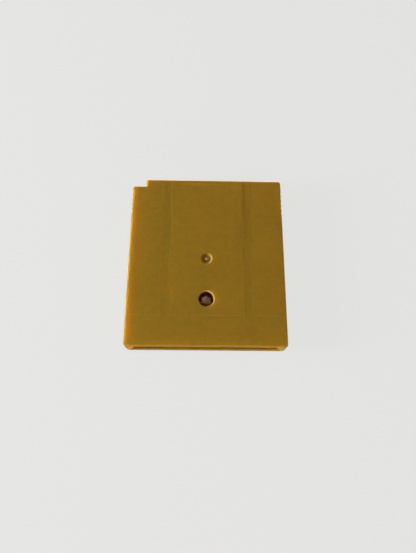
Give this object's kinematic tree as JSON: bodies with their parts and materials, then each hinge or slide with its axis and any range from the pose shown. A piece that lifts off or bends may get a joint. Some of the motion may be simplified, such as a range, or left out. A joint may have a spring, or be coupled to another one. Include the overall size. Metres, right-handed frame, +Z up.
{
  "type": "game cartridge",
  "caption": "Flat plug-in game cartridge: two moulded shells and a security screw round a circuit board with edge contacts, memory chips and a save battery.",
  "frame": {"origin": "middle of the underside of the whole cartridge as it lies on its label face", "axes": "+X across to the square corner side, +Y from the connector mouth to the grip end, +Z up out of the back face"},
  "size_m": [0.057, 0.065, 0.0078],
  "materials": {
    "case_gold": "satin, finely flaked, slightly translucent",
    "screw_steel": "dulled",
    "board_green": "satin",
    "contact_gold": "gold plated",
    "chip_black": "matt",
    "tinned_metal": "tinned",
    "cell_steel": "satin",
    "capacitor_tan": "matt",
    "resistor_black": "matt"
  },
  "bodies": {
    "root": {"back_shell": "case_gold", "front_shell": "case_gold", "case_screw": "screw_steel", "circuit_board": "board_green", "contact_fingers": "contact_gold", "rom_body": "chip_black", "rom_leads": "tinned_metal", "mapper_body": "chip_black", "mapper_leads": "tinned_metal", "ram_body": "chip_black", "ram_leads": "tinned_metal", "supervisor_body": "chip_black", "supervisor_leads": "tinned_metal", "coin_cell": "cell_steel", "cell_plus_tab": "tinned_metal", "cell_minus_tab": "tinned_metal", "crystal_can": "cell_steel", "crystal_leads": "tinned_metal", "capacitor_bodies": "capacitor_tan", "capacitor_ends": "tinned_metal", "resistor_bodies": "resistor_black", "resistor_ends": "tinned_metal"}
  },
  "joints": []
}
